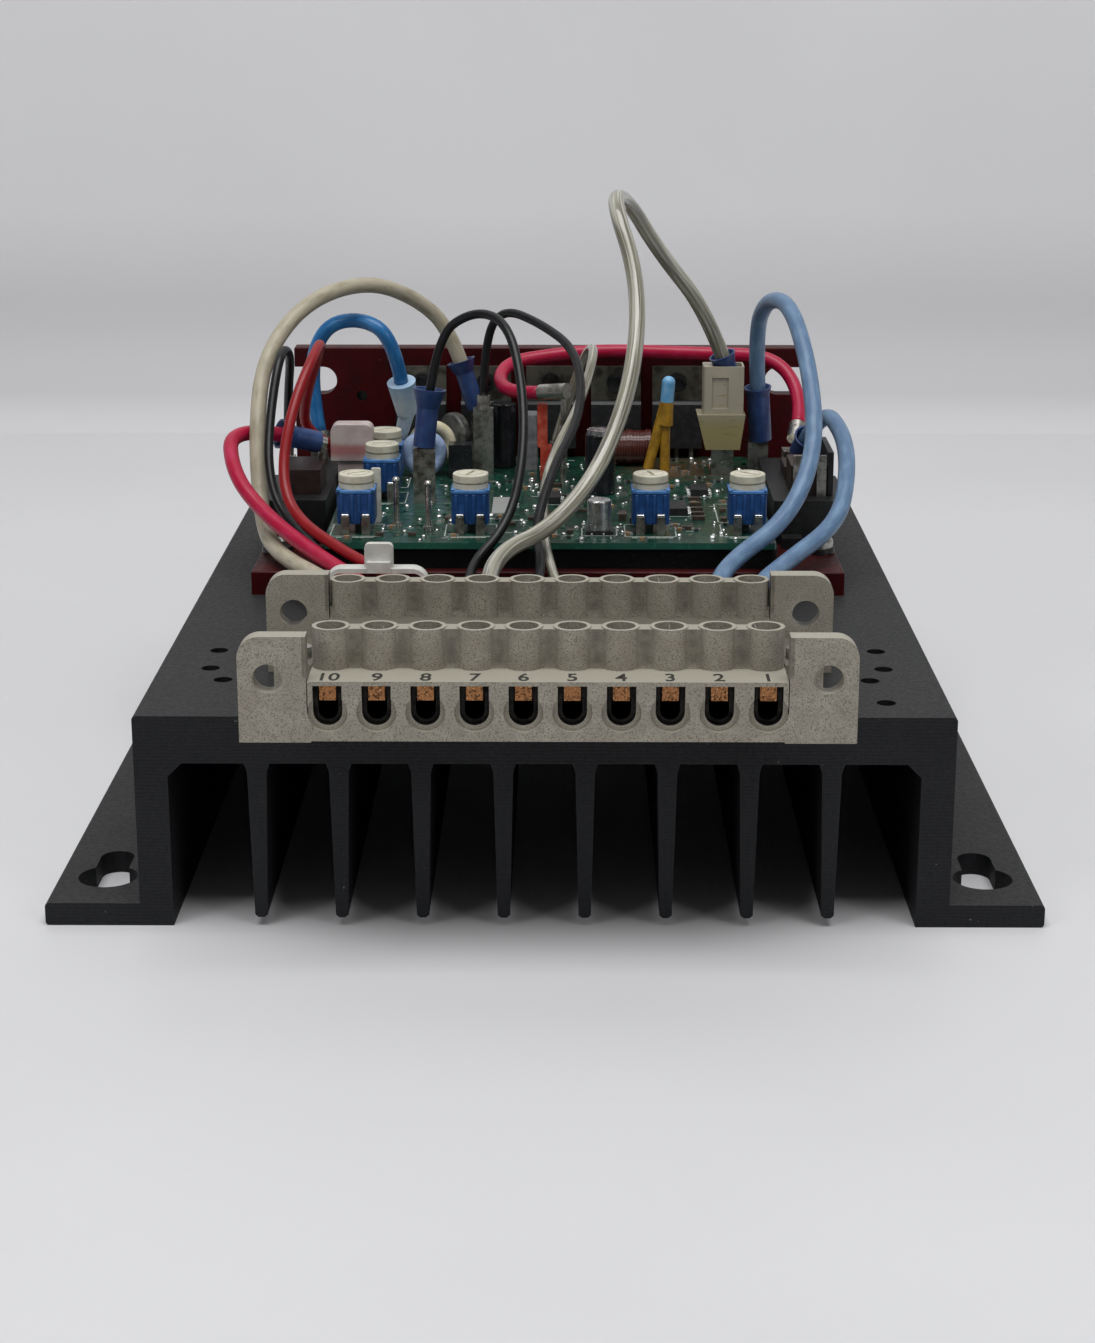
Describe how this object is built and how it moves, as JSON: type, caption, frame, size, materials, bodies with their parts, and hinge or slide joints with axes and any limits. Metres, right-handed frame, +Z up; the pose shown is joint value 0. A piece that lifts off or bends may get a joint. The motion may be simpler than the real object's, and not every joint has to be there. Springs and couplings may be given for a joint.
{
  "type": "dc motor speed controller",
  "caption": "Motor speed controller: finned dark heatsink with side flanges, red frame, control board with trimmers, arching leads and a grey screw terminal strip.",
  "frame": {"origin": "middle of the whole object's footprint, on the plane the heatsink stands on", "axes": "+Z up from the heatsink's foot to the leads, +Y from the terminal strip to the rear plate, +X to the right as seen from the terminal strip"},
  "size_m": [0.2164, 0.268, 0.1427],
  "materials": {
    "anodised_charcoal": "dark anodised extruded aluminium, satin",
    "anodised_red": "red anodised aluminium plate, satin",
    "carrier_black": "moulded black, matte",
    "board_green": "glass-epoxy laminate with green solder mask, satin",
    "screw_steel": "zinc-plated steel",
    "washer_steel": "dark plated steel",
    "terminal_grey": "moulded polyamide, grey beige, matte",
    "cage_metal": "plated clamp steel",
    "clamp_copper": "copper alloy clamp plate",
    "trimmer_blue": "moulded blue, satin",
    "dial_white": "moulded cream white, matte",
    "tinned_metal": "tinned metal",
    "white_plastic": "moulded white",
    "chip_black": "moulded epoxy, matte",
    "can_metal": "drawn aluminium can",
    "cap_black": "shrink sleeve, glossy black",
    "varistor_dark": "dipped epoxy, dark",
    "choke_brown": "lacquered wire winding, red brown",
    "grey_film": "moulded grey case",
    "red_film": "dipped epoxy, orange red",
    "coil_paleblue": "pale blue winding",
    "core_cream": "coated ring, cream",
    "mustard": "mustard lacquer sleeve",
    "tip_blue": "sky blue sleeve",
    "device_black": "moulded epoxy, matte black",
    "module_black": "moulded black case",
    "block_brown": "moulded brown",
    "sleeve_blue": "vinyl crimp sleeve, blue",
    "nylon_cream": "moulded nylon, cream",
    "clear_sleeve": "translucent vinyl, pinkish",
    "boot_paleblue": "translucent vinyl, light blue",
    "tie_clear": "translucent nylon",
    "wire_beige": "vinyl insulation, beige, matte",
    "wire_pink": "vinyl insulation, pink, glossy",
    "wire_red": "vinyl insulation, red, satin",
    "wire_blue": "vinyl insulation, bright blue, satin",
    "wire_paleblue": "vinyl insulation, pale blue, satin",
    "wire_black": "vinyl insulation, black, satin",
    "wire_clear": "translucent off-white insulation over strands"
  },
  "bodies": {
    "chassis": {"heatsink": "anodised_charcoal", "base_plate": "anodised_red", "rear_plate": "anodised_red", "board_carrier": "carrier_black", "circuit_board": "board_green", "frame_washers": "washer_steel", "frame_screws": "screw_steel", "terminal_plug": "terminal_grey", "terminal_socket": "terminal_grey", "plug_cages": "cage_metal", "socket_cages": "cage_metal", "clamp_plates": "clamp_copper", "terminal_screws": "screw_steel", "trimmer_bodies": "trimmer_blue", "trimmer_legs": "tinned_metal", "test_posts": "tinned_metal", "white_strip": "white_plastic", "soic_chips": "chip_black", "chip_parts": "chip_black", "capacitor_cans": "can_metal", "black_capacitors": "cap_black", "disc_varistor": "varistor_dark", "choke": "choke_brown", "grey_capacitor": "grey_film", "red_capacitor": "red_film", "ring_coil": "coil_paleblue", "ring_core": "core_cream", "sleeved_resistor": "mustard", "blue_tip": "tip_blue", "device_tabs": "tinned_metal", "device_bodies": "device_black", "device_screws": "washer_steel", "module_cases": "module_black", "module_blocks": "block_brown", "module_tabs": "tinned_metal", "wire_beige": "wire_beige", "wire_pink_left": "wire_pink", "wire_black_1": "wire_black", "wire_red_left": "wire_red", "wire_blue_left": "wire_blue", "wire_black_2": "wire_black", "wire_black_3": "wire_black", "wire_clear_fat": "wire_clear", "wire_clear_thin": "wire_clear", "wire_paleblue_1": "wire_paleblue", "wire_paleblue_2": "wire_paleblue", "wire_pink_rear": "wire_pink", "crimp_sleeves": "sleeve_blue", "receptacles": "tinned_metal", "nylon_housing": "nylon_cream", "clear_housing": "clear_sleeve", "clear_boot": "boot_paleblue", "cable_tie": "tie_clear"},
    "dial_1": {"trimmer_dial_1": "dial_white"},
    "dial_2": {"trimmer_dial_2": "dial_white"},
    "dial_3": {"trimmer_dial_3": "dial_white"},
    "dial_4": {"trimmer_dial_4": "dial_white"},
    "dial_5": {"trimmer_dial_5": "dial_white"},
    "dial_6": {"trimmer_dial_6": "dial_white"}
  },
  "joints": [
    {"name": "dial_1_turn", "type": "hinge", "parent": "chassis", "child": "dial_1", "pos_m": [-0.0487, 0.003, 0.0736], "axis": [0, 0, 1], "range_deg": [-135, 135]},
    {"name": "dial_2_turn", "type": "hinge", "parent": "chassis", "child": "dial_2", "pos_m": [-0.0197, 0.003, 0.0736], "axis": [0, 0, 1], "range_deg": [-135, 135]},
    {"name": "dial_3_turn", "type": "hinge", "parent": "chassis", "child": "dial_3", "pos_m": [0.026, 0.003, 0.0736], "axis": [0, 0, 1], "range_deg": [-135, 135]},
    {"name": "dial_4_turn", "type": "hinge", "parent": "chassis", "child": "dial_4", "pos_m": [0.0506, 0.003, 0.0736], "axis": [0, 0, 1], "range_deg": [-135, 135]},
    {"name": "dial_5_turn", "type": "hinge", "parent": "chassis", "child": "dial_5", "pos_m": [-0.0449, 0.042, 0.0736], "axis": [0, 0, 1], "range_deg": [-135, 135]},
    {"name": "dial_6_turn", "type": "hinge", "parent": "chassis", "child": "dial_6", "pos_m": [-0.0454, 0.062, 0.0736], "axis": [0, 0, 1], "range_deg": [-135, 135]}
  ]
}
